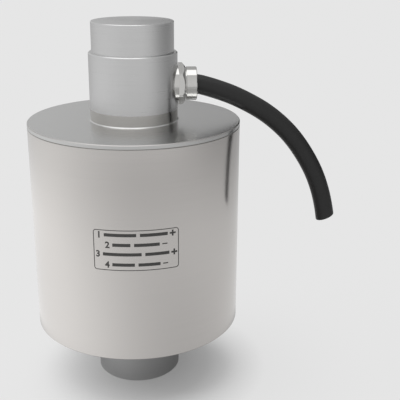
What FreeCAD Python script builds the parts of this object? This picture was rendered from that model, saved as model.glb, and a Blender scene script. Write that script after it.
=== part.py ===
import FreeCAD, Part
import math
import operator
import os
from types import SimpleNamespace

import Sketcher
from FreeCAD import Placement, Rotation, Vector

# Compression load cell with a canister housing, in millimetres.
# The origin is the centre of the lower stud's end face, +Z is the load axis, the cable leaves along +X.

# Every driving size: its name, its value and what it measures.
SIZES = [
    ("stud_diameter", 47.2, "lower stud"),
    ("stud_height", 34.1, "lower stud, end face to the housing's foot"),
    ("stud_chamfer", 1.0, "edge of the stud's end face"),
    ("register_diameter", 50.0, "register of the base plate on the column"),
    ("head_diameter", 54.0, "both heads of the column inside the housing"),
    ("lower_head_height", 18.0, "lower head above the base plate"),
    ("upper_head_height", 20.0, "upper head under the lid"),
    ("shank_diameter", 44.0, "turned waist before its flats are milled"),
    ("shank_chamfer", 2.0, "turned corner between waist and heads"),
    ("gauge_width", 32.0, "across the milled flats"),
    ("flat_round", 6.0, "milled corner between flats and heads"),
    ("neck_diameter", 47.4, "neck above the lid"),
    ("neck_height", 36.3, "neck above the lid's top face"),
    ("neck_chamfer", 0.5, "edge of the neck's shoulder"),
    ("button_diameter", 43.8, "top loading button"),
    ("button_height", 16.0, "button above the neck's shoulder"),
    ("button_chamfer", 0.35, "edge of the top face"),
    ("can_diameter", 115.0, "housing tube and lid"),
    ("can_wall", 3.0, "housing tube wall"),
    ("can_height", 113.8, "housing tube"),
    ("foot_chamfer", 0.5, "outer edge of the tube's foot"),
    ("seam_chamfer", 0.25, "each side of the groove between tube and lid"),
    ("weld_clearance", 0.05, "radial gap of parts that slide together before welding"),
    ("lid_thickness", 2.3, "lid at its rim and hub"),
    ("lid_chamfer", 0.4, "edge of the lid's rim"),
    ("lid_hub_diameter", 62.0, "thick hub of the lid"),
    ("web_thickness", 1.2, "thin flexing web of the lid"),
    ("web_chamfer", 0.8, "corners of the groove under the web"),
    ("spigot_depth", 4.0, "ring of the lid that enters the tube"),
    ("spigot_wall", 3.0, "wall of that ring"),
    ("weld_leg", 0.45, "weld bead between lid and neck"),
    ("base_thickness", 3.0, "base plate"),
    ("base_recess", 1.0, "base plate above the tube's foot"),
    ("base_chamfer", 0.5, "edge of the base plate"),
    ("port_rise", 18.9, "cable port axis above the lid"),
    ("port_depth", 3.2, "counterbore, neck's surface to the seat of the gland's collar"),
    ("port_counterbore", 20.0, "counterbore round the collar"),
    ("port_thread", 16.0, "thread between gland and column"),
    ("port_runout", 1.1, "threaded hole beyond the gland's spigot"),
    ("port_pocket", 12.0, "drilled pocket behind the thread"),
    ("port_pocket_end", 4.0, "column axis to the pocket's full-diameter end"),
    ("passage_diameter", 5.2, "slanted wire passage"),
    ("passage_tilt", 18.4, "passage from the column axis, in degrees"),
    ("passage_head", 7.0, "column axis to the point where passage and port axes meet"),
    ("passage_length", 47.5, "from that point down past the upper head"),
    ("carrier_width", 14.0, "gauge carrier film across the flat"),
    ("carrier_height", 20.0, "gauge carrier film along the column"),
    ("carrier_thickness", 0.2, "gauge carrier film"),
    ("carrier_round", 1.0, "corners of the carrier film"),
    ("foil_thickness", 0.1, "gauge foil"),
    ("grid_width", 7.0, "both gauge grids across the flat"),
    ("axial_grid_height", 8.0, "grid that reads along the column"),
    ("cross_grid_height", 5.0, "grid that reads across the column"),
    ("grid_gap", 0.5, "half the gap between the two grids"),
    ("grid_slot", 0.4, "gap between the strands of a grid"),
    ("grid_strand", 0.6, "strand of a grid"),
    ("grid_loop", 0.8, "end loop of a grid"),
    ("pad_size", 2.4, "solder pads of a gauge"),
    ("pad_spacing", 6.0, "solder pads, centre to centre"),
    ("pad_drop", 8.0, "solder pads below the gauge's centre"),
    ("board_clearance", 1.0, "terminal board from the lower head, radially"),
    ("board_width", 17.0, "ring of the terminal board, inner edge to outer edge"),
    ("board_thickness", 1.6, "terminal board"),
    ("pillar_height", 6.0, "pillars under the terminal board"),
    ("pillar_flats", 5.5, "pillars across flats"),
    ("screw_inset", 7.0, "pillars and screws from the board's outer edge"),
    ("screw_diameter", 3.0, "board screws"),
    ("screw_hole", 3.4, "screw holes in the board"),
    ("screw_length", 7.0, "board screws under the head"),
    ("screw_head", 5.6, "head diameter"),
    ("screw_head_height", 2.0, "head height"),
    ("screw_slot", 0.8, "slot width in the head"),
    ("pin_width", 1.6, "square terminal pin"),
    ("pin_height", 3.0, "terminal pin above the board"),
    ("lead_pin_inset", 5.0, "pins of the cable leads from the board's outer edge"),
    ("gauge_pin_inset", 4.0, "pins of the gauge wires from the board's inner edge"),
    ("resistor_length", 7.0, "trimming resistor"),
    ("resistor_width", 4.0, "trimming resistor"),
    ("resistor_height", 2.4, "trimming resistor"),
    ("resistor_cap", 1.0, "end cap of a trimming resistor"),
    ("resistor_step", 0.3, "body of the resistor over its end caps"),
    ("resistor_inset", 6.5, "resistors from the board's outer edge"),
    ("lead_diameter", 1.1, "insulated lead wire"),
    ("lead_pitch", 1.5, "lead wires, centre to centre"),
    ("gauge_wire_diameter", 0.5, "gauge wire"),
    ("potting_start", 28.0, "potting plug along the passage, nearer end"),
    ("potting_end", 38.0, "potting plug along the passage, farther end"),
    ("collar_diameter", 19.6, "round collar of the gland"),
    ("collar_length", 3.5, "collar, seat to hexagon"),
    ("hex_flats", 20.0, "hexagon across flats"),
    ("hex_corners", 22.5, "hexagon across its turned corners"),
    ("hex_length", 3.7, "hexagon"),
    ("hex_face", 18.6, "circle that the hexagon's chamfer leaves on its face"),
    ("hex_chamfer", 40.0, "chamfer of the hexagon from its face, in degrees"),
    ("hex_turn", 26.0, "hexagon's first corner above the horizontal, in degrees"),
    ("gland_spigot", 8.0, "threaded spigot inside the port"),
    ("gland_bore", 11.0, "bore of the gland round the cable"),
    ("gland_chamber", 13.6, "seal chamber"),
    ("chamber_length", 6.6, "straight part of the seal chamber"),
    ("nut_thread", 15.6, "thread between gland and nut"),
    ("nut_thread_length", 3.9, "outer threaded spigot"),
    ("thread_chamfer", 0.6, "first turn of a thread"),
    ("gasket_width", 1.0, "gasket under the collar, radially"),
    ("gasket_thickness", 0.8, "gasket under the collar, along the axis"),
    ("gasket_room", 0.2, "recess round the gasket, wider than the gasket"),
    ("seal_overlap", 1.2, "how far the plain seal blank reaches inside the cable's surface"),
    ("seal_nose", 0.5, "seal from the start of the chamber's cone"),
    ("clamp_thickness", 1.0, "clamp ring"),
    ("clamp_bore", 12.2, "clamp ring bore"),
    ("clamp_clearance", 0.1, "clamp ring inside the nut, radially"),
    ("nut_diameter", 17.9, "compression nut"),
    ("nut_gap", 0.4, "gap between hexagon and nut"),
    ("nut_length", 5.7, "compression nut"),
    ("nut_chamfer", 0.3, "outer edge of the nut"),
    ("nut_edge", 0.2, "chamfer of the nut's inner end"),
    ("nut_mouth", 12.6, "mouth of the nut"),
    ("mouth_chamfer", 0.7, "flare of the nut's mouth"),
    ("cable_diameter", 10.5, "cable"),
    ("cable_inset", 3.5, "cable's inner end inside the seat of the gland's collar"),
]

# The cable's route in the plane y = 0 after its inner end: distance from the seat of the gland's
# collar, height above the port's axis.
CABLE_ROUTE = [
    (14.5, 0.0),
    (32.1, -5.5),
    (54.1, -16.8),
    (71.1, -33.5),
    (83.5, -55.7),
    (88.4, -78.3),
]
ARC_SHARE = 0.45           # share of the shorter run that a cord's arc takes up
DRILL_POINT = math.tan(math.radians(31))    # depth of a drill's point for each unit of radius

SCREW_ANGLES = (90, 210, 330)
RESISTOR_ANGLES = (115, 140, 220, 245)
LEAD_PIN_ANGLES = (-15, -5, 5, 15)
GAUGE_PIN_ANGLE = 9.0      # each side of a gauge's own direction
GAUGE_TURNS = {"gauge_front": 0, "gauge_right": 90, "gauge_back": 180, "gauge_left": 270}

LEAD_SPREAD = (20.0, 14.0) # below the gauges' centre, where the inner and the outer leads spread out
LEAD_CUTS = (2.0, 2.0, 3.0, 2.0)    # how far each corner of a lead is cut back
LEAD_DROP = 7.0            # straight end of a lead above its pin

OPERATIONS = {"+": operator.add, "-": operator.sub, "*": operator.mul, "/": operator.truediv}

doc = FreeCAD.newDocument("load_cell")


class Size:
    """A number together with the sheet expression that gives it."""

    def __init__(self, value, text):
        self.value = value
        self.text = text

    def __add__(self, other):
        return combine("+", self, other)

    def __sub__(self, other):
        return combine("-", self, other)

    def __mul__(self, other):
        return combine("*", self, other)

    def __truediv__(self, other):
        return combine("/", self, other)

    def __neg__(self):
        return combine("*", self, -1)


def as_size(number):
    return number if isinstance(number, Size) else Size(float(number), repr(float(number)))


def combine(sign, left, right):
    left = as_size(left)
    right = as_size(right)
    value = OPERATIONS[sign](left.value, right.value)
    return Size(value, f"({left.text} {sign} {right.text})")


def make_sheet():
    """Write the driving sizes into a spreadsheet and return them as linked sizes."""
    sheet = doc.addObject("Spreadsheet::Sheet", "Sizes")
    linked = {}
    for row, (name, value, meaning) in enumerate(SIZES, start=1):
        sheet.set(f"A{row}", meaning)
        sheet.set(f"B{row}", str(value))
        sheet.setAlias(f"B{row}", name)
    doc.recompute()
    for name, value, meaning in SIZES:
        linked[name] = Size(float(sheet.get(name)), f"Sizes.{name}")
    return SimpleNamespace(**linked)


s = make_sheet()

# Heights and places that several pieces share.
foot = s.stud_height
base_bottom = foot + s.base_recess
base_top = base_bottom + s.base_thickness
seam = foot + s.can_height
lid_top = seam + s.lid_thickness
shank_bottom = base_top + s.lower_head_height
shank_top = seam - s.upper_head_height
shoulder = lid_top + s.neck_height
cell_top = shoulder + s.button_height
port_height = lid_top + s.port_rise
gauge_height = (shank_bottom + shank_top) / 2
board_bottom = base_top + s.pillar_height
board_top = board_bottom + s.board_thickness
board_inner = s.head_diameter / 2 + s.board_clearance
board_outer = board_inner + s.board_width
screw_radius = board_outer - s.screw_inset
lead_pin_radius = board_outer - s.lead_pin_inset
gauge_pin_radius = board_inner + s.gauge_pin_inset
can_bore_radius = s.can_diameter / 2 - s.can_wall

# Places along the gland's axis, from the column's axis.
port_seat = s.neck_diameter / 2 - s.port_depth
gland_end = port_seat - s.gland_spigot
port_thread_end = gland_end - s.port_runout
cable_start = port_seat - s.cable_inset
hex_start = port_seat + s.collar_length
hex_end = hex_start + s.hex_length
thread_end = hex_end + s.nut_thread_length
chamber_start = thread_end - s.chamber_length
cone_length = (s.gland_chamber - s.gland_bore) / 2
nut_start = hex_end + s.nut_gap
nut_end = nut_start + s.nut_length
clamp_end = thread_end + s.clamp_thickness


def new_body(label, height=None):
    body = doc.addObject("PartDesign::Body", label)
    body.Label = label
    if height is not None:
        body.setExpression("Placement.Base.z", height.text)
    return body


def new_sketch(body, name, role, shift=None):
    """A sketch on one of the body's origin planes, moved in the plane's own directions."""
    sketch = body.newObject("Sketcher::SketchObject", name)
    plane = next(item for item in body.Origin.OriginFeatures if item.Role == role)
    sketch.AttachmentSupport = [(plane, "")]
    sketch.MapMode = "FlatFace"
    for axis, amount in (shift or {}).items():
        sketch.setExpression(f"AttachmentOffset.Base.{axis}", amount.text)
    return sketch


def place(sketch, item, end, x, y):
    """Hold one point of the sketch at x, y from its origin."""
    for kind, amount, axis in (("DistanceX", x, -2), ("DistanceY", y, -1)):
        if as_size(amount).value == 0:
            sketch.addConstraint(Sketcher.Constraint("PointOnObject", item, end, axis))
            continue
        limit = sketch.addConstraint(Sketcher.Constraint(kind, -1, 1, item, end, as_size(amount).value))
        sketch.setExpression(f"Constraints[{limit}]", as_size(amount).text)


def rounded(before, here, after, radius):
    """Where the arc of a rounded corner starts and ends, its centre and its sense."""
    come = (here - before).normalize()
    leave = (after - here).normalize()
    turn = math.atan2(come.x * leave.y - come.y * leave.x, come.dot(leave))
    reach = radius * math.tan(abs(turn) / 2)
    start = here - come * reach
    sense = 1 if turn > 0 else -1
    centre = start + Vector(-come.y, come.x, 0) * radius * sense
    return start, here + leave * reach, centre, sense


def add_outline(sketch, corners):
    """Add a closed outline; a corner is (x, y), or (x, y, radius) where it is rounded."""
    count = len(corners)
    points = [Vector(as_size(item[0]).value, as_size(item[1]).value, 0) for item in corners]
    arcs = []
    for index, corner in enumerate(corners):
        arcs.append(None)
        if len(corner) == 3:
            around = points[index - 1], points[index], points[(index + 1) % count]
            arcs[index] = rounded(*around, corner[2].value)
    lines = []
    for index in range(count):
        following = (index + 1) % count
        start = arcs[index][1] if arcs[index] else points[index]
        finish = arcs[following][0] if arcs[following] else points[following]
        lines.append(sketch.addGeometry(Part.LineSegment(start, finish)))
    for index, corner in enumerate(corners):
        before = lines[index - 1]
        after = lines[index]
        if not arcs[index]:
            sketch.addConstraint(Sketcher.Constraint("Coincident", before, 2, after, 1))
            place(sketch, after, 1, corner[0], corner[1])
            continue
        add_corner(sketch, corner, arcs[index], before, after)


def add_corner(sketch, corner, arc, before, after):
    """Join two straight edges by a tangent arc whose sharp corner is held in place."""
    start, finish, centre, sense = arc
    first, last = (start, finish) if sense > 0 else (finish, start)
    angles = [math.atan2(point.y - centre.y, point.x - centre.x) for point in (first, last)]
    circle = Part.Circle(centre, Vector(0, 0, 1), corner[2].value)
    curve = sketch.addGeometry(Part.ArcOfCircle(circle, angles[0], angles[1]))
    begins, ends = (1, 2) if sense > 0 else (2, 1)
    sketch.addConstraint(Sketcher.Constraint("Tangent", before, 2, curve, begins))
    sketch.addConstraint(Sketcher.Constraint("Tangent", after, 1, curve, ends))
    limit = sketch.addConstraint(Sketcher.Constraint("Radius", curve, corner[2].value))
    sketch.setExpression(f"Constraints[{limit}]", corner[2].text)
    sharp = Vector(as_size(corner[0]).value, as_size(corner[1]).value, 0)
    mark = sketch.addGeometry(Part.Point(sharp), True)
    place(sketch, mark, 1, corner[0], corner[1])
    sketch.addConstraint(Sketcher.Constraint("PointOnObject", mark, 1, before))
    sketch.addConstraint(Sketcher.Constraint("PointOnObject", mark, 1, after))


def add_circle(sketch, x, y, radius):
    middle = Vector(as_size(x).value, as_size(y).value, 0)
    circle = sketch.addGeometry(Part.Circle(middle, Vector(0, 0, 1), radius.value))
    place(sketch, circle, 3, x, y)
    limit = sketch.addConstraint(Sketcher.Constraint("Radius", circle, radius.value))
    sketch.setExpression(f"Constraints[{limit}]", radius.text)


def add_box(sketch, left, bottom, width, height):
    right = as_size(left) + width
    top = as_size(bottom) + height
    add_outline(sketch, [(left, bottom), (right, bottom), (right, top), (left, top)])


def add_hexagon(sketch, flats, turn):
    """A hexagon round the sketch's origin; turn is in degrees from a corner on its X axis."""
    corner = flats / math.sqrt(3)
    angles = [math.radians(60 * step + turn) for step in range(6)]
    add_outline(sketch, [(corner * math.cos(angle), corner * math.sin(angle)) for angle in angles])


def volume(body):
    doc.recompute()
    return body.Shape.Volume


def revolve(body, name, sketch, axis="V_Axis"):
    feature = body.newObject("PartDesign::Revolution", name)
    feature.Profile = sketch
    feature.ReferenceAxis = (sketch, [axis])
    feature.Angle = 360
    doc.recompute()
    return feature


def groove(body, name, sketch, axis):
    """Turn a hollow into the body and make sure that it cut something."""
    before = volume(body)
    feature = body.newObject("PartDesign::Groove", name)
    feature.Profile = sketch
    feature.ReferenceAxis = (sketch, [axis])
    feature.Angle = 360
    if volume(body) >= before:
        raise RuntimeError(f"{name} cuts nothing")
    return feature


def pad(body, name, sketch, length):
    feature = body.newObject("PartDesign::Pad", name)
    feature.Profile = sketch
    feature.setExpression("Length", length.text)
    doc.recompute()
    return feature


def pocket(body, name, sketch, length=None, reverse=False):
    """Cut a sketch into the body, through all of it to both sides where no length is given."""
    before = volume(body)
    feature = body.newObject("PartDesign::Pocket", name)
    feature.Profile = sketch
    feature.Reversed = reverse
    if length is None:
        feature.Type = "ThroughAll"
        feature.Midplane = True
    else:
        feature.setExpression("Length", length.text)
    if volume(body) >= before:
        raise RuntimeError(f"{name} cuts nothing")
    return feature


def around_axis(body, name, feature, count):
    """Repeat a feature about the body's Z axis."""
    pattern = body.newObject("PartDesign::PolarPattern", name)
    pattern.Originals = [feature]
    axis = next(item for item in body.Origin.OriginFeatures if item.Role == "Z_Axis")
    pattern.Axis = (axis, [""])
    pattern.Angle = 360
    pattern.Occurrences = count
    body.Tip = pattern
    doc.recompute()
    return pattern


def solid_object(label, shape):
    item = doc.addObject("Part::Feature", label)
    item.Label = label
    item.Shape = shape
    item.Placement = Placement()
    return item


def polar(radius, degrees, height):
    angle = math.radians(degrees)
    return Vector(radius * math.cos(angle), radius * math.sin(angle), height)


def ring_of_copies(label, pattern, radius, angles, height):
    """Copies of one small part, turned to face outwards round the column."""
    copies = []
    for degrees in angles:
        copy = pattern.Shape.copy()
        spot = polar(radius.value, degrees, height.value)
        copy.Placement = Placement(spot, Rotation(Vector(0, 0, 1), degrees))
        copies.append(copy)
    return solid_object(label, Part.makeCompound(copies))


def bent_path(points, radii):
    """Straight runs through the points, with a tangent arc of the given radius at each corner."""
    edges = []
    place_now = points[0]
    for index, radius in enumerate(radii, start=1):
        here = points[index]
        come = (here - points[index - 1]).normalize()
        leave = (points[index + 1] - here).normalize()
        turn = come.getAngle(leave)
        reach = radius * math.tan(turn / 2)
        start = here - come * reach
        finish = here + leave * reach
        inward = (leave - come).normalize()
        middle = here + inward * (radius / math.cos(turn / 2) - radius)
        edges.append(Part.LineSegment(place_now, start).toShape())
        edges.append(Part.Arc(start, middle, finish).toShape())
        place_now = finish
    edges.append(Part.LineSegment(place_now, points[-1]).toShape())
    return Part.Wire(edges)


def cut_corners(points, cuts):
    """The points of a path whose corners are each cut back once by the given distance."""
    path = [points[0]]
    for index, cut in enumerate(cuts, start=1):
        here = points[index]
        path.append(here + (points[index - 1] - here).normalize() * cut)
        path.append(here + (points[index + 1] - here).normalize() * cut)
    path.append(points[-1])
    return path


def tube(path, start, direction, diameter):
    """A round solid along a path with mitred corners, checked against its section times its length."""
    section = Part.Wire([Part.makeCircle(diameter / 2, start, direction)])
    solid = path.makePipeShell([section], True, False, 1)
    expected = math.pi * diameter ** 2 / 4 * path.Length
    if abs(solid.Volume - expected) > 0.01 * expected:
        raise RuntimeError("a tube's volume doesn't match its length")
    return solid


def wire(points, diameter):
    """A thin wire with mitred corners."""
    return tube(Part.makePolygon(points), points[0], points[1] - points[0], diameter)


def largest_radii(points, share):
    """The radius at each inner point whose arc takes up the share of the shorter run."""
    radii = []
    for index in range(1, len(points) - 1):
        come = points[index] - points[index - 1]
        leave = points[index + 1] - points[index]
        shorter = min(come.Length, leave.Length)
        radii.append(share * shorter / math.tan(come.getAngle(leave) / 2))
    return radii


def make_column():
    """The one-piece column: stud, two heads, square gauge shank, neck and loading button."""
    body = new_body("strain_column")
    sketch = new_sketch(body, "column_profile", "XZ_Plane")
    stud = s.stud_diameter / 2
    register = s.register_diameter / 2
    head = s.head_diameter / 2
    shank = s.shank_diameter / 2
    neck = s.neck_diameter / 2
    button = s.button_diameter / 2
    add_outline(sketch, [
        (0, 0),
        (stud - s.stud_chamfer, 0),
        (stud, s.stud_chamfer),
        (stud, base_bottom),
        (register, base_bottom),
        (register, base_top),
        (head, base_top),
        (head, shank_bottom),
        (shank + s.shank_chamfer, shank_bottom),
        (shank, shank_bottom + s.shank_chamfer),
        (shank, shank_top - s.shank_chamfer),
        (shank + s.shank_chamfer, shank_top),
        (head, shank_top),
        (head, seam),
        (neck, seam),
        (neck, shoulder - s.neck_chamfer),
        (neck - s.neck_chamfer, shoulder),
        (button, shoulder),
        (button, cell_top - s.button_chamfer),
        (button - s.button_chamfer, cell_top),
        (0, cell_top),
    ])
    revolve(body, "turned_column", sketch)

    flat = new_sketch(body, "flat_profile", "XZ_Plane")
    inner = s.gauge_width / 2
    add_outline(flat, [
        (inner, shank_bottom, s.flat_round),
        (s.head_diameter, shank_bottom),
        (s.head_diameter, shank_top),
        (inner, shank_top, s.flat_round),
    ])
    milled = pocket(body, "milled_flat", flat)
    around_axis(body, "milled_flats", milled, 4)

    port = new_sketch(body, "port_profile", "XZ_Plane", {"y": port_height})
    seat = s.port_counterbore / 2
    thread = s.port_thread / 2
    hole = s.port_pocket / 2
    add_outline(port, [
        (s.port_pocket_end - hole * DRILL_POINT, 0),
        (s.neck_diameter, 0),
        (s.neck_diameter, seat),
        (port_seat, seat),
        (port_seat, thread),
        (port_thread_end, thread),
        (port_thread_end, hole),
        (s.port_pocket_end, hole),
    ])
    groove(body, "cable_port", port, "H_Axis")

    passage = new_sketch(body, "passage_profile", "XZ_Plane", {"x": s.passage_head, "y": port_height})
    passage.setExpression("AttachmentOffset.Rotation.Angle", (s.passage_tilt - 90).text)
    add_box(passage, 0, 0, s.passage_length, s.passage_diameter / 2)
    groove(body, "wire_passage", passage, "H_Axis")
    return body


def make_shell():
    body = new_body("canister_shell")
    sketch = new_sketch(body, "shell_profile", "XZ_Plane")
    outer = s.can_diameter / 2
    add_outline(sketch, [
        (can_bore_radius, foot),
        (outer - s.foot_chamfer, foot),
        (outer, foot + s.foot_chamfer),
        (outer, seam - s.seam_chamfer),
        (outer - s.seam_chamfer, seam),
        (can_bore_radius, seam),
    ])
    revolve(body, "shell_tube", sketch)
    return body


def make_lid():
    """The lid: a thin flexing web between a hub on the column and a rim on the tube."""
    body = new_body("top_lid")
    sketch = new_sketch(body, "lid_profile", "XZ_Plane")
    neck = s.neck_diameter / 2
    hub = s.lid_hub_diameter / 2
    outer = s.can_diameter / 2
    spigot = can_bore_radius - s.weld_clearance
    web_bottom = lid_top - s.web_thickness
    add_outline(sketch, [
        (neck, seam),
        (hub, seam),
        (hub, web_bottom - s.web_chamfer),
        (hub + s.web_chamfer, web_bottom),
        (spigot - s.spigot_wall - s.web_chamfer, web_bottom),
        (spigot - s.spigot_wall, web_bottom - s.web_chamfer),
        (spigot - s.spigot_wall, seam - s.spigot_depth),
        (spigot, seam - s.spigot_depth),
        (spigot, seam),
        (outer - s.seam_chamfer, seam),
        (outer, seam + s.seam_chamfer),
        (outer, lid_top - s.lid_chamfer),
        (outer - s.lid_chamfer, lid_top),
        (neck + s.weld_leg, lid_top),
        (neck, lid_top + s.weld_leg),
    ])
    revolve(body, "lid_disc", sketch)
    return body


def make_base_plate():
    body = new_body("base_plate")
    sketch = new_sketch(body, "base_profile", "XZ_Plane")
    outer = can_bore_radius - s.weld_clearance
    register = s.register_diameter / 2
    add_outline(sketch, [
        (register, base_bottom),
        (outer - s.base_chamfer, base_bottom),
        (outer, base_bottom + s.base_chamfer),
        (outer, base_top),
        (register, base_top),
    ])
    revolve(body, "base_disc", sketch)
    return body


def grid_slots(sketch, middle, length, across):
    """The slots that leave a folded strand: they enter the grid from its two ends in turn.

    The strands run along the column, or across it when across is true.
    """
    pitch = s.grid_slot + s.grid_strand
    breadth = s.cross_grid_height if across else s.grid_width
    count = int(round(breadth.value / pitch.value)) - 1
    for index in range(count):
        side = pitch * (index - (count - 1) / 2) - s.grid_slot / 2
        near = -length / 2 if index % 2 == 0 else -length / 2 + s.grid_loop
        reach = length - s.grid_loop
        if across:
            add_box(sketch, near, middle + side, reach, s.grid_slot)
        else:
            add_box(sketch, side, middle + near, s.grid_slot, reach)


def make_gauge(label, degrees):
    """A foil gauge on one flat: carrier film, two folded grids, leads and two solder pads."""
    body = new_body(label)
    face = s.gauge_width / 2
    film = new_sketch(body, label + "_film", "XZ_Plane", {"y": gauge_height, "z": face})
    half_width = s.carrier_width / 2
    half_height = s.carrier_height / 2
    add_outline(film, [
        (-half_width, -half_height, s.carrier_round),
        (half_width, -half_height, s.carrier_round),
        (half_width, half_height, s.carrier_round),
        (-half_width, half_height, s.carrier_round),
    ])
    pad(body, label + "_carrier", film, s.carrier_thickness)

    foil_face = face + s.carrier_thickness
    foil = new_sketch(body, label + "_outline", "XZ_Plane", {"y": gauge_height, "z": foil_face})
    grid = s.grid_width / 2
    lead = s.grid_loop
    top = s.grid_gap + s.axial_grid_height
    bottom = -s.grid_gap - s.cross_grid_height
    add_box(foil, -grid, s.grid_gap, s.grid_width, s.axial_grid_height)
    add_box(foil, -grid, bottom, s.grid_width, s.cross_grid_height)
    pad_top = -s.pad_drop + s.pad_size / 2
    for side in (-1, 1):
        outside = (grid + lead + s.grid_slot) * side
        inside = (grid + s.grid_slot) * side
        inner = (s.pad_spacing / 2 - s.pad_size / 2) * side
        low = -s.pad_drop - s.pad_size / 2
        add_outline(foil, [
            (outside, top + lead),
            (outside, low),
            (inner, low),
            (inner, pad_top),
            (inside, pad_top),
            (inside, top),
            (grid * side * 0.5, top),
            (grid * side * 0.5, top + lead),
        ])
    pad(body, label + "_foil", foil, s.foil_thickness)

    slots = new_sketch(body, label + "_slots", "XZ_Plane", {"y": gauge_height, "z": foil_face})
    grid_slots(slots, s.grid_gap + s.axial_grid_height / 2, s.axial_grid_height, False)
    grid_slots(slots, bottom + s.cross_grid_height / 2, s.grid_width, True)
    pocket(body, label + "_grids", slots, s.foil_thickness, reverse=True)
    body.Placement = Placement(Vector(), Rotation(Vector(0, 0, 1), degrees))
    return body


def make_board():
    """The ring-shaped terminal board on its three pillars."""
    body = new_body("terminal_board")
    sketch = new_sketch(body, "board_outline", "XY_Plane", {"z": board_bottom})
    add_circle(sketch, 0, 0, board_outer)
    add_circle(sketch, 0, 0, board_inner)
    pad(body, "board_ring", sketch, s.board_thickness)
    holes = new_sketch(body, "board_hole", "XY_Plane", {"z": board_bottom})
    add_circle(holes, 0, screw_radius, s.screw_hole / 2)
    drilled = pocket(body, "screw_hole_cut", holes)
    around_axis(body, "screw_holes", drilled, len(SCREW_ANGLES))
    return body


def make_pillars():
    body = new_body("pillar_pattern")
    sketch = new_sketch(body, "pillar_outline", "XY_Plane")
    add_hexagon(sketch, s.pillar_flats, 0)
    add_circle(sketch, 0, 0, s.screw_diameter / 2)
    pad(body, "pillar_hexagon", sketch, s.pillar_height)
    return ring_of_copies("board_pillars", body, screw_radius, SCREW_ANGLES, base_top)


def make_screws():
    body = new_body("screw_pattern")
    sketch = new_sketch(body, "screw_profile", "XZ_Plane")
    head = s.screw_head / 2
    shank = s.screw_diameter / 2
    add_outline(sketch, [
        (0, -s.screw_length),
        (shank, -s.screw_length),
        (shank, 0),
        (head, 0),
        (head, s.screw_head_height),
        (0, s.screw_head_height),
    ])
    revolve(body, "screw_turned", sketch)
    slot = new_sketch(body, "screw_slot_outline", "XY_Plane", {"z": s.screw_head_height})
    add_box(slot, -s.screw_head, -s.screw_slot / 2, s.screw_head * 2, s.screw_slot)
    pocket(body, "screw_slot_cut", slot, s.screw_head_height / 2)
    return ring_of_copies("board_screws", body, screw_radius, SCREW_ANGLES, board_top)


def pin_places():
    """The cable leads' pins, then the gauges' own pairs, as radius and angle."""
    places = [(lead_pin_radius.value, degrees) for degrees in LEAD_PIN_ANGLES]
    for degrees in GAUGE_TURNS.values():
        for side in (-1, 1):
            places.append((gauge_pin_radius.value, degrees - 90 + side * GAUGE_PIN_ANGLE))
    return places


def make_pins():
    """Square pins to which the leads and the gauge wires are soldered."""
    body = new_body("pin_pattern")
    sketch = new_sketch(body, "pin_outline", "XY_Plane")
    add_box(sketch, -s.pin_width / 2, -s.pin_width / 2, s.pin_width, s.pin_width)
    pad(body, "pin_body", sketch, s.pin_height)
    copies = []
    for radius, degrees in pin_places():
        copy = body.Shape.copy()
        copy.Placement = Placement(polar(radius, degrees, board_top.value), Rotation(Vector(0, 0, 1), degrees))
        copies.append(copy)
    return solid_object("terminal_pins", Part.makeCompound(copies))


def make_resistors():
    body = new_body("resistor_pattern")
    sketch = new_sketch(body, "resistor_profile", "YZ_Plane", {"z": -s.resistor_width / 2})
    end = s.resistor_length / 2
    cap = end - s.resistor_cap
    low = s.resistor_height - s.resistor_step
    add_outline(sketch, [
        (-end, 0),
        (end, 0),
        (end, low),
        (cap, low),
        (cap, s.resistor_height),
        (-cap, s.resistor_height),
        (-cap, low),
        (-end, low),
    ])
    pad(body, "resistor_body", sketch, s.resistor_width)
    return ring_of_copies(
        "trim_resistors", body, board_outer - s.resistor_inset, RESISTOR_ANGLES, board_top)


def passage_point(along, side, across):
    """A point of the slanted passage: distance from its head, offset in its plane, offset along Y."""
    tilt = math.radians(s.passage_tilt.value)
    head = Vector(s.passage_head.value, across, port_height.value)
    down = Vector(math.sin(tilt), 0, -math.cos(tilt))
    out = Vector(math.cos(tilt), 0, math.sin(tilt))
    return head + down * along + out * side


def make_leads():
    """Four insulated wires from the cable's inner end through the passage to their pins."""
    tilt = math.radians(s.passage_tilt.value)
    half = s.lead_pitch.value / 2
    port = port_height.value
    pin_top = board_top.value + s.pin_height.value
    past_head = s.passage_length.value + s.lead_diameter.value
    colours = ("red", "black", "green", "white")
    corners = ((half, -half), (-half, -half), (-half, half), (half, half))
    items = []
    for colour, (side, across), degrees in zip(colours, corners, LEAD_PIN_ANGLES):
        turn_down = side * (1 + math.sin(tilt)) / math.cos(tilt)
        foot_corner = passage_point(past_head, side, across)
        spread = gauge_height.value - LEAD_SPREAD[side > 0]
        pin = polar(lead_pin_radius.value, degrees, pin_top)
        corner_points = [
            Vector(cable_start.value, across, port - side),
            passage_point(turn_down, side, across),
            foot_corner,
            Vector(foot_corner.x, across, spread),
            pin + Vector(0, 0, LEAD_DROP),
            pin,
        ]
        shape = wire(cut_corners(corner_points, LEAD_CUTS), s.lead_diameter.value)
        items.append(solid_object("lead_wire_" + colour, shape))
    return items


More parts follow.
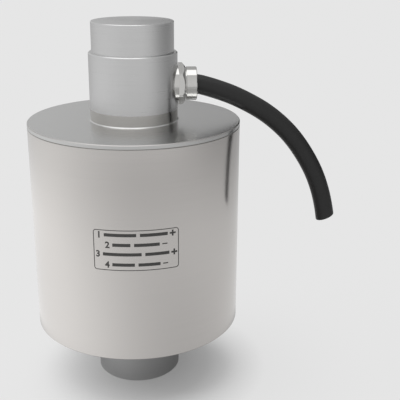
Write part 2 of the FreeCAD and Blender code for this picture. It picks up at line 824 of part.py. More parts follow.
def make_gauge_wires():
    """Two fine wires from each gauge's solder pads to its pair of pins."""
    pad_face = s.gauge_width.value / 2 + s.carrier_thickness.value + s.foil_thickness.value
    pad_height = gauge_height.value - s.pad_drop.value
    pin_top = board_top.value + s.pin_height.value
    wires = []
    for degrees in GAUGE_TURNS.values():
        for side in (-1, 1):
            pin = polar(gauge_pin_radius.value, side * GAUGE_PIN_ANGLE, pin_top)
            across = side * s.pad_spacing.value / 2
            shape = wire([
                Vector(pad_face, across, pad_height),
                Vector(pad_face + s.pad_size.value, across, pad_height),
                Vector(pin.x, pin.y, shank_bottom.value + s.pillar_height.value),
                pin,
            ], s.gauge_wire_diameter.value)
            shape.rotate(Vector(), Vector(0, 0, 1), degrees - 90)
            wires.append(shape)
    return solid_object("gauge_wires", Part.makeCompound(wires))


def make_potting(leads):
    """The sealing plug in the slanted passage, moulded round the four leads."""
    start = passage_point(s.potting_start.value, 0, 0)
    finish = passage_point(s.potting_end.value, 0, 0)
    length = s.potting_end.value - s.potting_start.value
    plug = Part.makeCylinder(s.passage_diameter.value / 2, length, start, finish - start)
    for lead in leads:
        plug = plug.cut(lead.Shape)
    return solid_object("potting_plug", plug)


def make_gland_body():
    """Gland body: threaded spigot, round collar with the gasket's recess, hexagon, seal chamber."""
    body = new_body("gland_body", port_height)
    sketch = new_sketch(body, "gland_profile", "XZ_Plane")
    corner = s.hex_corners / 2
    chamfer = (corner - s.hex_face / 2) * math.tan(math.radians(s.hex_chamfer.value))
    bore = s.gland_bore / 2
    thread = s.port_thread / 2
    collar = s.collar_diameter / 2
    outlet = s.nut_thread / 2
    chamber = s.gland_chamber / 2
    add_outline(sketch, [
        (gland_end, bore),
        (gland_end, thread - s.thread_chamfer),
        (gland_end + s.thread_chamfer, thread),
        (port_seat + s.gasket_thickness, thread),
        (port_seat + s.gasket_thickness, thread + s.gasket_width + s.gasket_room),
        (port_seat, thread + s.gasket_width + s.gasket_room),
        (port_seat, collar),
        (hex_start, collar),
        (hex_start, corner),
        (hex_end - chamfer, corner),
        (hex_end, s.hex_face / 2),
        (hex_end, outlet),
        (thread_end - s.thread_chamfer / 2, outlet),
        (thread_end, outlet - s.thread_chamfer / 2),
        (thread_end, chamber),
        (chamber_start, chamber),
        (chamber_start - cone_length, bore),
    ])
    revolve(body, "gland_turned", sketch, "H_Axis")
    flats = new_sketch(body, "hexagon_outline", "YZ_Plane", {"z": hex_start})
    add_circle(flats, 0, 0, s.hex_flats)
    add_hexagon(flats, s.hex_flats, s.hex_turn.value)
    pocket(body, "hexagon_flats", flats, s.hex_length, reverse=True)
    return body


def make_gasket():
    body = new_body("gland_gasket", port_height)
    sketch = new_sketch(body, "gasket_profile", "XZ_Plane")
    add_box(sketch, port_seat, s.port_thread / 2, s.gasket_thickness, s.gasket_width)
    revolve(body, "gasket_turned", sketch, "H_Axis")
    return body


def make_seal(cable):
    """The rubber seal fills its chamber and is pressed round the cable."""
    body = new_body("seal_blank", port_height)
    sketch = new_sketch(body, "seal_profile", "XZ_Plane")
    inner = s.cable_diameter / 2 - s.seal_overlap
    chamber = s.gland_chamber / 2
    nose = chamber_start - cone_length + s.seal_nose
    add_outline(sketch, [
        (nose, inner),
        (thread_end, inner),
        (thread_end, chamber),
        (chamber_start, chamber),
        (nose, s.gland_bore / 2 + s.seal_nose),
    ])
    revolve(body, "seal_turned", sketch, "H_Axis")
    seal = doc.addObject("Part::Cut", "gland_seal")
    seal.Label = "gland_seal"
    seal.Base = body
    seal.Tool = cable
    doc.recompute()
    return seal


def make_clamp_ring():
    body = new_body("gland_clamp_ring", port_height)
    sketch = new_sketch(body, "clamp_profile", "XZ_Plane")
    inner = s.clamp_bore / 2
    width = s.nut_thread / 2 - s.clamp_clearance - inner
    add_box(sketch, thread_end, inner, s.clamp_thickness, width)
    revolve(body, "clamp_turned", sketch, "H_Axis")
    return body


def make_nut():
    """The round compression nut with its flared mouth."""
    body = new_body("gland_nut", port_height)
    sketch = new_sketch(body, "nut_profile", "XZ_Plane")
    thread = s.nut_thread / 2
    outer = s.nut_diameter / 2
    mouth = s.nut_mouth / 2
    add_outline(sketch, [
        (nut_start, thread),
        (clamp_end, thread),
        (clamp_end, mouth),
        (nut_end - s.mouth_chamfer, mouth),
        (nut_end, mouth + s.mouth_chamfer),
        (nut_end, outer - s.nut_chamfer),
        (nut_end - s.nut_chamfer, outer),
        (nut_start + s.nut_edge, outer),
        (nut_start, outer - s.nut_edge),
    ])
    revolve(body, "nut_turned", sketch, "H_Axis")
    return body


def make_cable():
    """The cable along its route, every arc as large as its two runs allow."""
    port = port_height.value
    points = [Vector(cable_start.value, 0, port)]
    points += [Vector(port_seat.value + out, 0, port + rise) for out, rise in CABLE_ROUTE]
    radii = largest_radii(points, ARC_SHARE)
    path = bent_path(points, radii)
    shape = tube(path, points[0], Vector(1, 0, 0), s.cable_diameter.value)
    print("cable length", round(path.Length, 1), "arc radii", [round(radius, 1) for radius in radii])
    return solid_object("cable", shape)


def check(items):
    """Stop if anything in the document failed, or if a piece isn't a sound solid."""
    for item in doc.Objects:
        if "Invalid" in item.State or "Error" in item.State:
            raise RuntimeError(f"{item.Name} failed: {item.State}")
    for item in items:
        if item.Shape.isNull() or not item.Shape.isValid() or not item.Shape.Solids:
            raise RuntimeError(f"{item.Label} is not a valid solid")


def main():
    cable = make_cable()
    leads = make_leads()
    pieces = [make_column(), make_shell(), make_lid(), make_base_plate()]
    pieces += [make_gauge(label, degrees) for label, degrees in GAUGE_TURNS.items()]
    pieces += [make_board(), make_pillars(), make_screws(), make_pins(), make_resistors()]
    pieces += leads
    pieces += [make_gauge_wires(), make_potting(leads)]
    pieces += [make_gland_body(), make_gasket(), make_seal(cable), make_clamp_ring(), make_nut()]
    pieces.append(cable)
    doc.recompute()
    check(pieces)
    os.makedirs("parts", exist_ok=True)
    for piece in pieces:
        piece.Shape.exportStep(f"parts/{piece.Label}.step")


main()
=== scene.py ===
import math

import bmesh
import bpy
from mathutils import Matrix, Vector


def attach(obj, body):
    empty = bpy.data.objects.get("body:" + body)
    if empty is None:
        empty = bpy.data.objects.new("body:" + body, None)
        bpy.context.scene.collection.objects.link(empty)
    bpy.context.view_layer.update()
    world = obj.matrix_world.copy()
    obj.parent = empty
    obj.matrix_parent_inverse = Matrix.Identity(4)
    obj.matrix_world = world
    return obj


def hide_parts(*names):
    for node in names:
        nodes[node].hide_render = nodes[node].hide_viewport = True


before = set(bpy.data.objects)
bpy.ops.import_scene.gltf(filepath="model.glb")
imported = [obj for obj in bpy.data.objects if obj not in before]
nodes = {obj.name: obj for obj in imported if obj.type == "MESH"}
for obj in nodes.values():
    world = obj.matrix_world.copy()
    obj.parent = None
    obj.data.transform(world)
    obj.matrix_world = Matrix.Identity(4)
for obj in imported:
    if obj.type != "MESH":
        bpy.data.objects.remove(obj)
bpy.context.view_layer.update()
scene = bpy.context.scene

# Lengths are in metres and angles in degrees, apart from the lens and the sensor in millimetres

# Camera
LENS, SENSOR = 70.168, 36.0
NEAREST, FARTHEST = 0.01, 200.0
CAMERA_PLACE = (0.0, -0.41792, 0.24699)
CAMERA_HEADING, CAMERA_PITCH, CAMERA_ROLL = 4.952, 19.044, 0.324

# Sizes and heights of the CAD that the finishes and marks refer to
TUBE_RADIUS = 0.0575
SEAM_HEIGHT, LID_TOP = 0.14787, 0.1502
PORT_HEIGHT = 0.1691

# Turned steel: fine rings and a slow cloudiness
RING_SCALE, RING_DETAIL, RING_ROUGHNESS = 1500.0, 5.0, 0.75
RING_SHARE, RING_BUMP, RING_DEPTH = 0.7, 0.02, 0.00001
RING_DRIFT = 0.0004
CLOUD_SCALE, CLOUD_SHARE = 14.0, 0.3
STEEL_NOISE = (0.35, 0.65)
STEEL_DARKER = 0.965
TURNED_ROTATION = 0.25

# Plastic, rubber and film
SPECK_SCALE, SPECK_DETAIL, SPECK_BUMP, SPECK_DEPTH = 900.0, 4.0, 0.15, 0.00005
DARKER_PER_GRAIN = 3

# Places whose finish differs from the rest of their piece, and whose colours hold a painted reflection
# and painted shade
BAND_TOP, BAND_BLUR = 0.1565, 0.0003
# The band's colour is a painted reflection of the lid in the neck's foot
BAND_REFLECTION_COLOUR, BAND_ROUGH = (0.515, 0.505, 0.485), 0.18
# The rim's colour is painted shade that dims its highlight
RIM_WIDTH, RIM_SHADE_COLOUR, RIM_ROUGH = 0.00042, (0.49, 0.48, 0.47), 0.34
# The seam's colour is painted shade in the groove between tube and lid
SEAM_HALF, SEAM_SHADE_COLOUR, SEAM_ROUGH = 0.0003, (0.42, 0.41, 0.395), 0.3

# Plastics and small parts: name, colour, roughness and the nodes that wear it
PLASTICS = (
    ("gauge_film", (0.60, 0.32, 0.10), 0.35, ("gauge_front", "gauge_right", "gauge_back", "gauge_left")),
    ("board_laminate", (0.05, 0.16, 0.06), 0.45, ("terminal_board",)),
    ("tinned_pins", (0.66, 0.60, 0.45), 0.3, ("terminal_pins",)),
    ("resistor_body", (0.02, 0.02, 0.022), 0.4, ("trim_resistors",)),
    ("potting_resin", (0.05, 0.045, 0.035), 0.4, ("potting_plug",)),
    ("seal_rubber", (0.018, 0.018, 0.018), 0.6, ("gland_gasket", "gland_seal")),
    ("wire_enamel", (0.30, 0.08, 0.02), 0.3, ("gauge_wires",)),
    ("wire_red", (0.45, 0.02, 0.015), 0.35, ("lead_wire_red",)),
    ("wire_black", (0.012, 0.012, 0.012), 0.35, ("lead_wire_black",)),
    ("wire_green", (0.015, 0.20, 0.04), 0.35, ("lead_wire_green",)),
    ("wire_white", (0.72, 0.72, 0.68), 0.35, ("lead_wire_white",)),
)

# Cable: the route's points in its upright plane, across and up, and its slanted cut
CABLE_RADIUS = 0.00525
CABLE_POINTS = (
    (0.0170, 0.1691),
    (0.0310, 0.1697),
    (0.0425, 0.1667),
    (0.0570, 0.1614),
    (0.0756, 0.1508),
    (0.0916, 0.1348),
    (0.1057, 0.1094),
    (0.1087, 0.0921),
)
CUT_DEPTH, CUT_STEP, CUT_CORNERS = 0.0023, 0.00004, 32
FILLER_SHARE = 0.7
CORE_RADIUS, CORE_CIRCLE = 0.0011, 0.00175

# Marks on the tube; a row is its height, half its width and the middle of the gap in its bar
MARK_TURN, MARK_HEIGHT, MARK_PROUD = -0.45, 0.09598, 0.00003
MARK_THICKNESS = 2.5 * MARK_PROUD
BORDER_HALF_WIDTH, BORDER_HALF_HEIGHT = 0.0219, 0.01088
BORDER_CORNER, BORDER_LINE = 0.0016, 0.0004
CORNER_STEPS = 6
MARK_ROWS = (
    (0.10420, 0.0200, 0.0010),
    (0.09894, 0.0158, -0.0020),
    (0.09387, 0.0208, 0.0035),
    (0.08830, 0.0161, 0.0),
)
FIGURE_SIZE, FIGURE_INSET = 0.0047, 0.0012
PLUS_SIZE, PLUS_INSET = 0.0060, 0.0014
MINUS_LENGTH, MINUS_THICKNESS = 0.0027, 0.0006
BAR_THICKNESS, BAR_LEFT_INSET, BAR_RIGHT_INSET, BAR_HALF_GAP = 0.0017, 0.0038, 0.0040, 0.0009
SIGN_BOLDER, SIGN_MIDDLE = 0.032, 0.35
FOLD_WIDTH, FOLDS_EACH_WAY = 0.0015, 14
SAME_POINT = 1e-7

# Floor and background; the spans add up to how far the plain backdrop hides the paper
FLOOR_HALF_SIZE, FLOOR_DROP = 30.0, 0.0001
PAPER_TONE, BACKDROP = 0.80, 0.79
SHADOW_SPANS = ((0.25, 0.36, 0.026, 0.041), (0.0, 0.53, 0.041, 0.076), (0.0, 0.06, 0.080, 0.140))

# Floor as polished metal sees it: its level, its brighter side and its brighter line, near and far
FLOOR_NEAR, FLOOR_FAR = (0.83, 0.64, 0.30, 0.50), (0.0, 0.07, 0.50, 0.80)
SIDE_GAIN, SIDE_NEAR, SIDE_FAR, SIDE_TURN = 0.20, -100, -20, (0.0, 1.0, 0.50, 0.80)
LINE_GAIN, LINE_NEAR, LINE_FAR, LINE_TURN = 0.09, -75, 70, (0.0, 1.0, 0.13, 0.33)
FLOOR_FLAG_SIDE, FLOOR_FLAG_POWER, FLOOR_FLAG_SPAN = 85, 4.0, (0.0, 0.28, 0.50, 0.70)
UNDER_SPAN, UNDER_SIDE, UNDER_LEAN = (0.235, 0.375, 0.030, 0.070), 155, 0.090
OPEN_SPAN = (0.0, 1.0, 0.080, 0.108)

# Room: its plain light, and for polished metal its shades with a dark patch behind and one to the right
ROOM_LIGHT, ROOM_MIRRORED = 0.10, 0.70
SHADE_BEHIND, SHADE_RIGHT, SHADE_CORNER = 0.155, 0.10, 0.38
PATCH_ACROSS, PATCH_UP = (0.0, 0.46, -0.035, 0.060), (1.0, 0.0, 0.11, 0.17)
PATCH_BACK = (0.0, 1.0, 0.0, 0.6)
SIDE_POWER, SIDE_SPAN = 6.0, (0.40, 0.0, 0.25, 0.50)

# Strip of light overhead: how high its edges stand in front and behind, its ends and its bright middle
STRIP_FRONT, STRIP_BACK = 68.4, 65.0
EDGE_SPAN = (0.0, 1.0, -0.03, 0.03)
STRIP_RIGHT, STRIP_LEFT = (0.85, 0.0, 0.18, 0.44), (0.0, 1.0, -0.80, -0.42)
CENTRE_GAIN, CENTRE_START, CENTRE_END = 1.35, (0.04, 0.06), (0.10, 0.12)
STRIP_TWICE, TWO_MIRRORS = 1.7, 1.5

# The one lamp
LAMP_AZIMUTH, LAMP_ELEVATION, LAMP_STRENGTH, LAMP_WIDTH = -109.0, 62.8, 3.16, 76.0


def make_camera():
    """The photograph's viewing angle: a long lens looking down 19 degrees."""
    data = bpy.data.cameras.new("camera")
    data.sensor_width = SENSOR
    data.lens = LENS
    data.clip_start = NEAREST
    data.clip_end = FARTHEST
    camera = bpy.data.objects.new("camera", data)
    turn = Matrix.Rotation(math.radians(-CAMERA_HEADING), 4, "Z")
    tilt = Matrix.Rotation(math.radians(90.0 - CAMERA_PITCH), 4, "X")
    roll = Matrix.Rotation(math.radians(CAMERA_ROLL), 4, "Z")
    camera.matrix_world = Matrix.Translation(CAMERA_PLACE) @ turn @ tilt @ roll
    scene.collection.objects.link(camera)
    scene.camera = camera


class Nodes:
    """Short calls for building a node tree."""

    def __init__(self, tree):
        self.tree = tree

    def node(self, kind, **settings):
        node = self.tree.nodes.new(kind)
        for key, value in settings.items():
            setattr(node, key, value)
        return node

    def link(self, source, target):
        self.tree.links.new(source, target)

    def place(self):
        return self.node("ShaderNodeTexCoord").outputs["Object"]

    def axes(self, vector):
        node = self.node("ShaderNodeSeparateXYZ")
        self.link(vector, node.inputs["Vector"])
        return node.outputs["X"], node.outputs["Y"], node.outputs["Z"]

    def noise(self, vector, scale, detail=3.0, roughness=0.55):
        node = self.node("ShaderNodeTexNoise")
        node.inputs["Scale"].default_value = scale
        node.inputs["Detail"].default_value = detail
        node.inputs["Roughness"].default_value = roughness
        self.link(vector, node.inputs["Vector"])
        return node.outputs["Fac"]

    def span(self, source, before, after, start=0.3, end=0.7):
        """A straight ramp: the values before and after it, and where it starts and ends."""
        node = self.node("ShaderNodeMapRange")
        node.inputs["From Min"].default_value = start
        node.inputs["From Max"].default_value = end
        node.inputs["To Min"].default_value = before
        node.inputs["To Max"].default_value = after
        self.link(source, node.inputs["Value"])
        return node.outputs["Result"]

    def math(self, operation, first, second=0.0):
        node = self.node("ShaderNodeMath", operation=operation)
        for index, item in enumerate((first, second)):
            if isinstance(item, (int, float)):
                node.inputs[index].default_value = item
            else:
                self.link(item, node.inputs[index])
        return node.outputs["Value"]

    def product(self, first, *others):
        for item in others:
            first = self.math("MULTIPLY", first, item)
        return first

    def blend(self, share, first, second):
        return self.math("ADD", first, self.product(share, self.math("SUBTRACT", second, first)))

    def across(self, first, second):
        """The distance from the axis, from two coordinates at right angles to it."""
        both = self.math("ADD", self.product(first, first), self.product(second, second))
        return self.math("SQRT", both)

    def mix(self, factor, first, second):
        node = self.node("ShaderNodeMix", data_type="RGBA")
        for socket, item in (("A", first), ("B", second)):
            target = next(i for i in node.inputs if i.name == socket and i.type == "RGBA")
            if isinstance(item, tuple):
                target.default_value = (*item, 1.0)
            else:
                self.link(item, target)
        self.link(factor, node.inputs[0])
        return next(o for o in node.outputs if o.type == "RGBA")

    def vector_math(self, operation, vector, other=None):
        node = self.node("ShaderNodeVectorMath", operation=operation)
        self.link(vector, node.inputs[0])
        if other is not None:
            node.inputs[1].default_value = other
        return node.outputs

    def dot(self, vector, direction):
        return self.vector_math("DOT_PRODUCT", vector, direction)["Value"]

    def length(self, vector):
        return self.vector_math("LENGTH", vector)["Value"]

    def mix_shaders(self, factor, first, second):
        node = self.node("ShaderNodeMixShader")
        for index, item in enumerate((factor, first, second)):
            self.link(item, node.inputs[index])
        return node.outputs["Shader"]


class Material(Nodes):
    """A node material with one Principled shader."""

    def __init__(self, name):
        self.material = bpy.data.materials.new(name)
        self.material.use_nodes = True
        super().__init__(self.material.node_tree)
        self.shader = self.tree.nodes["Principled BSDF"]

    def value(self, socket, number):
        self.shader.inputs[socket].default_value = number

    def bump(self, height, strength, distance):
        node = self.node("ShaderNodeBump")
        node.inputs["Strength"].default_value = strength
        node.inputs["Distance"].default_value = distance
        self.link(height, node.inputs["Height"])
        self.link(node.outputs["Normal"], self.shader.inputs["Normal"])

    def patch(self, where, colour, rough):
        """Give the part of the surface where the mask is 1 another colour and roughness."""
        for socket, inside in (("Base Color", colour), ("Roughness", (rough, rough, rough))):
            target = self.shader.inputs[socket]
            self.link(self.mix(where, target.links[0].from_socket, inside), target)


def turned_lines(m, centre, about_x):
    """Coordinates whose noise gives fine rings round the turning axis: radius, height, slow angle."""
    x, y, z = m.axes(m.vector_math("SUBTRACT", m.place(), centre)["Vector"])
    along, across = (x, z) if about_x else (z, x)
    join = m.node("ShaderNodeCombineXYZ")
    m.link(m.across(across, y), join.inputs["X"])
    m.link(along, join.inputs["Y"])
    m.link(m.product(m.math("ARCTAN2", y, across), RING_DRIFT), join.inputs["Z"])
    return join.outputs["Vector"]


def steel(name, colour, rough, uneven, stretch=0.0, centre=(0.0, 0.0, 0.0), about_x=False):
    """Turned stainless steel: fine rings, a faint cloudiness and a slightly uneven polish."""
    m = Material(name)
    fine = m.noise(turned_lines(m, centre, about_x), RING_SCALE, RING_DETAIL, RING_ROUGHNESS)
    cloud = m.noise(m.place(), CLOUD_SCALE)
    both = m.math("ADD", m.product(fine, RING_SHARE), m.product(cloud, CLOUD_SHARE))
    darker = tuple(part * STEEL_DARKER for part in colour)
    m.link(m.mix(m.span(both, 0.0, 1.0, *STEEL_NOISE), darker, colour), m.shader.inputs["Base Color"])
    m.link(m.span(both, rough - uneven, rough + uneven, *STEEL_NOISE), m.shader.inputs["Roughness"])
    m.value("Metallic", 1.0)
    if stretch:
        m.value("Anisotropic", stretch)
        m.value("Anisotropic Rotation", TURNED_ROTATION)
        around = m.node("ShaderNodeTangent", direction_type="RADIAL", axis="X" if about_x else "Z")
        m.link(around.outputs["Tangent"], m.shader.inputs["Tangent"])
    m.bump(fine, RING_BUMP, RING_DEPTH)
    return m


def plastic(name, colour, rough, grain=0.06, scale=SPECK_SCALE):
    """Moulded plastic or rubber: a fine uneven surface and slight changes of tone."""
    m = Material(name)
    speck = m.noise(m.place(), scale, SPECK_DETAIL)
    darker = tuple(part * (1.0 - DARKER_PER_GRAIN * grain) for part in colour)
    m.link(m.mix(m.span(speck, 0.0, 1.0), darker, colour), m.shader.inputs["Base Color"])
    m.link(m.span(speck, rough - grain, rough + grain), m.shader.inputs["Roughness"])
    m.bump(speck, SPECK_BUMP, SPECK_DEPTH)
    return m


def ground_band(m):
    """The neck's foot is ground smoother beside the weld; its darker colour there is a painted
    reflection of the lid.
    """
    height = m.axes(m.place())[2]
    below = m.span(height, 1.0, 0.0, BAND_TOP - BAND_BLUR, BAND_TOP + BAND_BLUR)
    m.patch(m.product(m.math("GREATER_THAN", height, LID_TOP), below), BAND_REFLECTION_COLOUR, BAND_ROUGH)


def dull_rim(m):
    """The broken edge of the lid's rim is rougher than its face, and its darker colour is painted shade
    that dims its highlight.
    """
    x, y, height = m.axes(m.place())
    outside = m.math("GREATER_THAN", m.across(x, y), TUBE_RADIUS - RIM_WIDTH)
    on_top = m.math("GREATER_THAN", height, LID_TOP - RIM_WIDTH)
    m.patch(m.product(outside, on_top), RIM_SHADE_COLOUR, RIM_ROUGH)


def tint_seam(m):
    """Painted shade in the groove between tube and lid: a darker colour, and a rougher finish."""
    away = m.math("ABSOLUTE", m.math("SUBTRACT", m.axes(m.place())[2], SEAM_HEIGHT))
    m.patch(m.math("LESS_THAN", away, SEAM_HALF), SEAM_SHADE_COLOUR, SEAM_ROUGH)


def dress(m, *names):
    for name in names:
        slots = nodes[name].data.materials
        slots.clear()
        slots.append(m.material)


def finish_nodes():
    """A material for every CAD node; the column's neck, the lid's rim and the seam differ a little, with
    a painted reflection on the neck and painted shade on the rim and the seam.
    """
    column = steel("column_steel", (0.62, 0.62, 0.62), rough=0.28, uneven=0.01, stretch=0.5)
    ground_band(column)
    dress(column, "strain_column")
    housing = steel("housing_steel", (0.645, 0.622, 0.602), rough=0.19, uneven=0.01, stretch=0.35)
    tint_seam(housing)
    dress(housing, "canister_shell")
    lid = steel("lid_steel", (0.62, 0.62, 0.615), rough=0.25, uneven=0.02)
    dull_rim(lid)
    tint_seam(lid)
    dress(lid, "top_lid", "base_plate")
    polished = steel("polished_fittings", (0.59, 0.585, 0.57), rough=0.10, uneven=0.02,
                     centre=(0.0, 0.0, PORT_HEIGHT), about_x=True)
    dress(polished, "gland_body", "gland_nut", "gland_clamp_ring")
    fixings = plastic("nickel_small_parts", (0.62, 0.61, 0.58), rough=0.3, grain=0.05)
    fixings.value("Metallic", 1.0)
    dress(fixings, "board_pillars", "board_screws")
    for name, colour, rough, wearers in PLASTICS:
        dress(plastic(name, colour, rough), *wearers)


def cut_slice(name, place, radius, behind, proud, material):
    """A round slice at the cable's oblique cut, a little proud of it.

    It starts the given depth behind the cut face, or at the end of the cable's line if that is None.
    """
    (x0, z0), (x1, z1) = CABLE_POINTS[-2:]
    out = Vector((x1 - x0, 0.0, z1 - z0)).normalized()
    across = Vector((-out.z, 0.0, out.x))
    rings = ([], [])
    bm = bmesh.new()
    for corner in range(CUT_CORNERS):
        angle = math.tau * corner / CUT_CORNERS
        u = place[0] + radius * math.cos(angle)
        v = place[1] + radius * math.sin(angle)
        cut = CUT_DEPTH * (1.0 - u / CABLE_RADIUS) / 2
        start = 0.0 if behind is None else cut - behind
        for ring, depth in zip(rings, (start, cut + proud)):
            ring.append(bm.verts.new(Vector((x1, v, z1)) + across * u + out * depth))
    inner, outer = rings
    for index in range(CUT_CORNERS):
        bm.faces.new((inner[index - 1], inner[index], outer[index], outer[index - 1]))
    bm.faces.new(inner)
    bm.faces.new(outer)
    bmesh.ops.recalc_face_normals(bm, faces=bm.faces)
    mesh = bpy.data.meshes.new(name)
    bm.to_mesh(mesh)
    bm.free()
    mesh.materials.append(material)
    piece = bpy.data.objects.new(name, mesh)
    scene.collection.objects.link(piece)
    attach(piece, "root")
    return piece


def make_cut_end(jacket):
    """The cable was cut by hand, a little aslant: jacket, filler and the four cores' ends."""
    middle = (0.0, 0.0)
    filler = plastic("core_filler", (0.32, 0.31, 0.29), rough=0.7).material
    copper = plastic("cut_copper", (0.70, 0.30, 0.14), rough=0.35).material
    pieces = [
        cut_slice("cable_cut_end", middle, CABLE_RADIUS, None, CUT_STEP, jacket),
        cut_slice("cable_filler", middle, FILLER_SHARE * CABLE_RADIUS, CUT_STEP, 2 * CUT_STEP, filler),
    ]
    for index, word in enumerate(("red", "black", "green", "white")):
        angle = math.tau * (index + 0.5) / 4
        place = (CORE_CIRCLE * math.cos(angle), CORE_CIRCLE * math.sin(angle))
        sheath = nodes["lead_wire_" + word].data.materials[0]
        pieces.append(cut_slice("core_end_" + word, place, CORE_RADIUS, CUT_STEP, 3 * CUT_STEP,
                                sheath))
        pieces.append(cut_slice("core_copper_" + word, place, CORE_RADIUS / 2, CUT_STEP, 4 * CUT_STEP,
                                copper))
    return pieces


def make_cable():
    data = bpy.data.curves.new("cable_line", "CURVE")
    data.dimensions = "3D"
    data.bevel_depth = CABLE_RADIUS
    data.bevel_resolution = 10
    data.resolution_u = 24
    data.use_fill_caps = True
    spline = data.splines.new("NURBS")
    spline.points.add(len(CABLE_POINTS) - 1)
    for point, (x, z) in zip(spline.points, CABLE_POINTS):
        point.co = (x, 0.0, z, 1.0)
    spline.order_u = 3
    spline.use_endpoint_u = True
    cable = bpy.data.objects.new("cable_jacket", data)
    scene.collection.objects.link(cable)
    jacket = plastic("cable_jacket", (0.0095, 0.0095, 0.0095), rough=0.45, grain=0.04).material
    data.materials.append(jacket)
    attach(cable, "root")
    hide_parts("cable")
    make_cut_end(jacket)


def on_tube(across, height):
    """A point just proud of the tube: distance round it from the middle of the marks, and height."""
    angle = math.radians(MARK_TURN) + across / TUBE_RADIUS
    radius = TUBE_RADIUS + MARK_PROUD
    return radius * math.sin(angle), -radius * math.cos(angle), height


def rounded_outline(half_width, half_height, corner):
    points = []
    for side, up, start in ((1, 1, 0), (-1, 1, 90), (-1, -1, 180), (1, -1, 270)):
        for step in range(CORNER_STEPS + 1):
            angle = math.radians(start + 90 // CORNER_STEPS * step)
            points.append((side * (half_width - corner) + corner * math.cos(angle),
                           up * (half_height - corner) + corner * math.sin(angle)))
    return points


def add_border(bm):
    """The closed line round the marks, laid out flat."""
    inside = rounded_outline(BORDER_HALF_WIDTH - BORDER_LINE, BORDER_HALF_HEIGHT - BORDER_LINE,
                             BORDER_CORNER - BORDER_LINE)
    outside = rounded_outline(BORDER_HALF_WIDTH, BORDER_HALF_HEIGHT, BORDER_CORNER)
    inner, outer = [
        [bm.verts.new((x, y + MARK_HEIGHT, 0)) for x, y in ring] for ring in (inside, outside)
    ]
    for index in range(len(inner)):
        bm.faces.new((inner[index - 1], outer[index - 1], outer[index], inner[index]))


def add_bar(bm, left, right, height, thickness):
    low, high = height - thickness / 2, height + thickness / 2
    corners = ((left, low), (right, low), (right, high), (left, high))
    bm.faces.new([bm.verts.new((x, y, 0)) for x, y in corners])


def add_sign(bm, text, across, height, size):
    """One numeral or sign, as flat faces."""
    data = bpy.data.curves.new("sign", "FONT")
    data.body = text
    data.size = size
    data.offset = size * SIGN_BOLDER
    data.align_x = "CENTER"
    data.resolution_u = 3
    holder = bpy.data.objects.new("sign", data)
    scene.collection.objects.link(holder)
    bpy.context.view_layer.update()
    mesh = bpy.data.meshes.new_from_object(holder.evaluated_get(bpy.context.evaluated_depsgraph_get()))
    bpy.data.objects.remove(holder)
    mesh.transform(Matrix.Translation((across, height - SIGN_MIDDLE * size, 0.0)))
    bm.from_mesh(mesh)


def add_row(bm, number, height, half, gap):
    """One lead's row: its number, a bar with a gap in it, and plus for odd rows or minus for even."""
    add_sign(bm, str(number), -half + FIGURE_INSET, height, FIGURE_SIZE)
    if number % 2:
        add_sign(bm, "+", half - PLUS_INSET, height, PLUS_SIZE)
    else:
        add_bar(bm, half - MINUS_LENGTH, half, height, MINUS_THICKNESS)
    add_bar(bm, -half + BAR_LEFT_INSET, gap - BAR_HALF_GAP, height, BAR_THICKNESS)
    add_bar(bm, gap + BAR_HALF_GAP, half - BAR_RIGHT_INSET, height, BAR_THICKNESS)


def make_lead_key():
    """A generic key of the four leads inside a border, marked on the tube."""
    bm = bmesh.new()
    add_border(bm)
    for number, row in enumerate(MARK_ROWS, start=1):
        add_row(bm, number, *row)
    bmesh.ops.remove_doubles(bm, verts=bm.verts, dist=SAME_POINT)
    for step in range(-FOLDS_EACH_WAY, FOLDS_EACH_WAY + 1):
        everything = bm.verts[:] + bm.edges[:] + bm.faces[:]
        bmesh.ops.bisect_plane(bm, geom=everything, plane_co=(step * FOLD_WIDTH, 0, 0),
                               plane_no=(1, 0, 0))
    for vertex in bm.verts:
        vertex.co = on_tube(vertex.co.x, vertex.co.y)
    mesh = bpy.data.meshes.new("lead_key_marks")
    bm.normal_update()
    bm.to_mesh(mesh)
    bm.free()
    marks = bpy.data.objects.new("lead_key_marks", mesh)
    scene.collection.objects.link(marks)
    depth = marks.modifiers.new("depth", "SOLIDIFY")
    depth.thickness = MARK_THICKNESS
    depth.offset = -1.0
    ink = plastic("laser_mark", (0.070, 0.068, 0.066), rough=0.5, grain=0.05, scale=1500.0)
    mesh.materials.append(ink.material)
    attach(marks, "root")


def towards(azimuth):
    """A horizontal direction: azimuth 0 points to the camera's side, 90 to the right."""
    angle = math.radians(azimuth)
    return math.sin(angle), -math.cos(angle), 0.0


def brighter_side(m, away, azimuth):
    """What the floor gains on one side, and loses on the other."""
    return m.product(m.dot(away, towards(azimuth)), SIDE_GAIN)


def brighter_line(m, away, azimuth):
    """What the floor gains along a line through the object, and loses across it."""
    along = m.dot(away, towards(azimuth))
    return m.math("SUBTRACT", m.product(along, along, 2 * LINE_GAIN), LINE_GAIN)


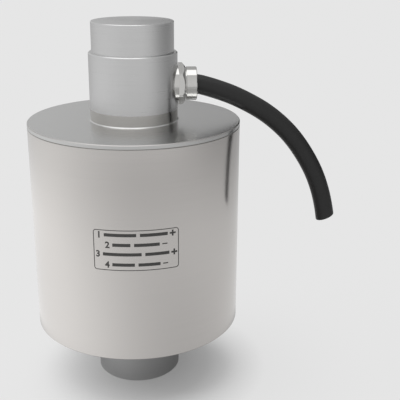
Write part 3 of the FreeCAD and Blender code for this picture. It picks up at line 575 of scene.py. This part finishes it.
def floor_glow(m):
    """How bright the floor looks in polished metal: lighter and darker sides, dark under the object."""
    place = m.place()
    away = m.vector_math("NORMALIZE", place)["Vector"]
    radius = m.length(place)
    level = m.math("ADD", m.span(radius, *FLOOR_NEAR), m.span(radius, *FLOOR_FAR))
    side = m.blend(m.span(radius, *SIDE_TURN), brighter_side(m, away, SIDE_NEAR),
                   brighter_side(m, away, SIDE_FAR))
    line = m.blend(m.span(radius, *LINE_TURN), brighter_line(m, away, LINE_NEAR),
                   brighter_line(m, away, LINE_FAR))
    glow = m.math("ADD", m.math("ADD", level, side), line)
    flag = m.math("POWER", m.math("MAXIMUM", m.dot(away, towards(FLOOR_FLAG_SIDE))), FLOOR_FLAG_POWER)
    glow = m.math("SUBTRACT", glow, m.product(flag, m.span(radius, *FLOOR_FLAG_SPAN)))
    lean = m.product(m.dot(away, towards(UNDER_SIDE)), UNDER_LEAN)
    under = m.math("SUBTRACT", m.span(radius, *UNDER_SPAN), lean)
    beyond = m.product(m.math("SUBTRACT", 1.0, under), m.span(radius, *OPEN_SPAN))
    return m.product(glow, m.math("ADD", under, beyond))


def make_floor():
    """Plain pale paper: the camera sees it fade into the background, polished metal sees its glow."""
    mesh = bpy.data.meshes.new("floor")
    size = FLOOR_HALF_SIZE
    corners = [(-size, -size, 0), (size, -size, 0), (size, size, 0), (-size, size, 0)]
    mesh.from_pydata(corners, [], [(0, 1, 2, 3)])
    floor = bpy.data.objects.new("floor", mesh)
    floor.location.z = -FLOOR_DROP
    scene.collection.objects.link(floor)
    m = Material("floor_paper")
    m.tree.nodes.remove(m.shader)
    paper = m.node("ShaderNodeBsdfDiffuse")
    paper.inputs["Color"].default_value = (PAPER_TONE, PAPER_TONE, PAPER_TONE, 1.0)
    backdrop = m.node("ShaderNodeEmission")
    backdrop.inputs["Strength"].default_value = BACKDROP
    glow = m.node("ShaderNodeEmission")
    m.link(floor_glow(m), glow.inputs["Strength"])
    path = m.node("ShaderNodeLightPath")
    distance = m.length(m.place())
    share = m.span(distance, *SHADOW_SPANS[0])
    for step in SHADOW_SPANS[1:]:
        share = m.math("ADD", share, m.span(distance, *step))
    seen = m.mix_shaders(m.product(path.outputs["Is Camera Ray"], share),
                         paper.outputs["BSDF"], backdrop.outputs["Emission"])
    mirrored = m.mix_shaders(path.outputs["Is Glossy Ray"], seen, glow.outputs["Emission"])
    m.link(mirrored, m.tree.nodes["Material Output"].inputs["Surface"])
    mesh.materials.append(m.material)


def mirrored_room(w, x, y, z):
    """How bright the room looks in polished metal, by direction."""
    patch = w.product(w.span(x, *PATCH_ACROSS), w.span(z, *PATCH_UP), w.span(y, *PATCH_BACK))
    right = w.math("POWER", w.math("MAXIMUM", x), SIDE_POWER)
    shades = (
        w.product(y, SHADE_BEHIND),
        w.product(x, SHADE_RIGHT),
        w.product(x, w.math("MAXIMUM", y), SHADE_CORNER),
        patch,
        w.product(right, w.span(z, *SIDE_SPAN)),
    )
    room = ROOM_MIRRORED
    for shade in shades:
        room = w.math("SUBTRACT", room, shade)
    return room


def mirrored_strip(w, where, x, path):
    """A strip of light overhead, a little brighter near its middle.

    A lamp that is far brighter than white is still white after two mirrors, so a ray that has met
    two of them finds the strip brighter.
    """
    front, back = math.radians(STRIP_FRONT), math.radians(STRIP_BACK)
    front_edge = w.dot(where, (0.0, math.sin(front), math.cos(front)))
    back_edge = w.dot(where, (0.0, -math.sin(back), math.cos(back)))
    strip = w.product(w.span(front_edge, *EDGE_SPAN), w.span(back_edge, *EDGE_SPAN),
                      w.span(x, *STRIP_RIGHT), w.span(x, *STRIP_LEFT))
    centre = w.product(w.span(x, 1.0, CENTRE_GAIN, *CENTRE_START),
                       w.span(x, 1.0, 1.0 / CENTRE_GAIN, *CENTRE_END))
    twice = w.product(w.math("GREATER_THAN", path.outputs["Glossy Depth"], TWO_MIRRORS), STRIP_TWICE)
    return w.product(strip, w.math("ADD", centre, twice))


def make_world():
    """Soft surroundings and a pale background; polished metal sees a room with a strip of light."""
    world = bpy.data.worlds.new("studio")
    scene.world = world
    world.use_nodes = True
    w = Nodes(world.node_tree)
    where = w.node("ShaderNodeTexCoord").outputs["Generated"]
    x, y, z = w.axes(where)
    path = w.node("ShaderNodeLightPath")
    mirrored = w.math("ADD", mirrored_room(w, x, y, z), mirrored_strip(w, where, x, path))
    glossy = w.product(path.outputs["Is Glossy Ray"], w.math("SUBTRACT", mirrored, ROOM_LIGHT))
    seen = w.product(path.outputs["Is Camera Ray"], BACKDROP - ROOM_LIGHT)
    strength = w.math("ADD", w.math("ADD", glossy, seen), ROOM_LIGHT)
    background = w.tree.nodes["Background"]
    background.inputs["Color"].default_value = (1.0, 1.0, 1.0, 1.0)
    w.link(strength, background.inputs["Strength"])


def make_lamp():
    """One broad soft lamp; azimuth 0 comes from the camera's side, and -90 from the left."""
    data = bpy.data.lights.new("key_light", "SUN")
    data.energy = LAMP_STRENGTH
    data.angle = math.radians(LAMP_WIDTH)
    lamp = bpy.data.objects.new("key_light", data)
    azimuth, elevation = math.radians(LAMP_AZIMUTH), math.radians(LAMP_ELEVATION)
    source = Vector((math.sin(azimuth) * math.cos(elevation), -math.cos(azimuth) * math.cos(elevation),
                     math.sin(elevation)))
    lamp.rotation_mode = "QUATERNION"
    lamp.rotation_quaternion = source.to_track_quat("Z", "Y")
    lamp.visible_glossy = False
    scene.collection.objects.link(lamp)


make_camera()
finish_nodes()
make_cable()
make_lead_key()
make_floor()
make_world()
make_lamp()
scene.view_settings.view_transform = "Standard"
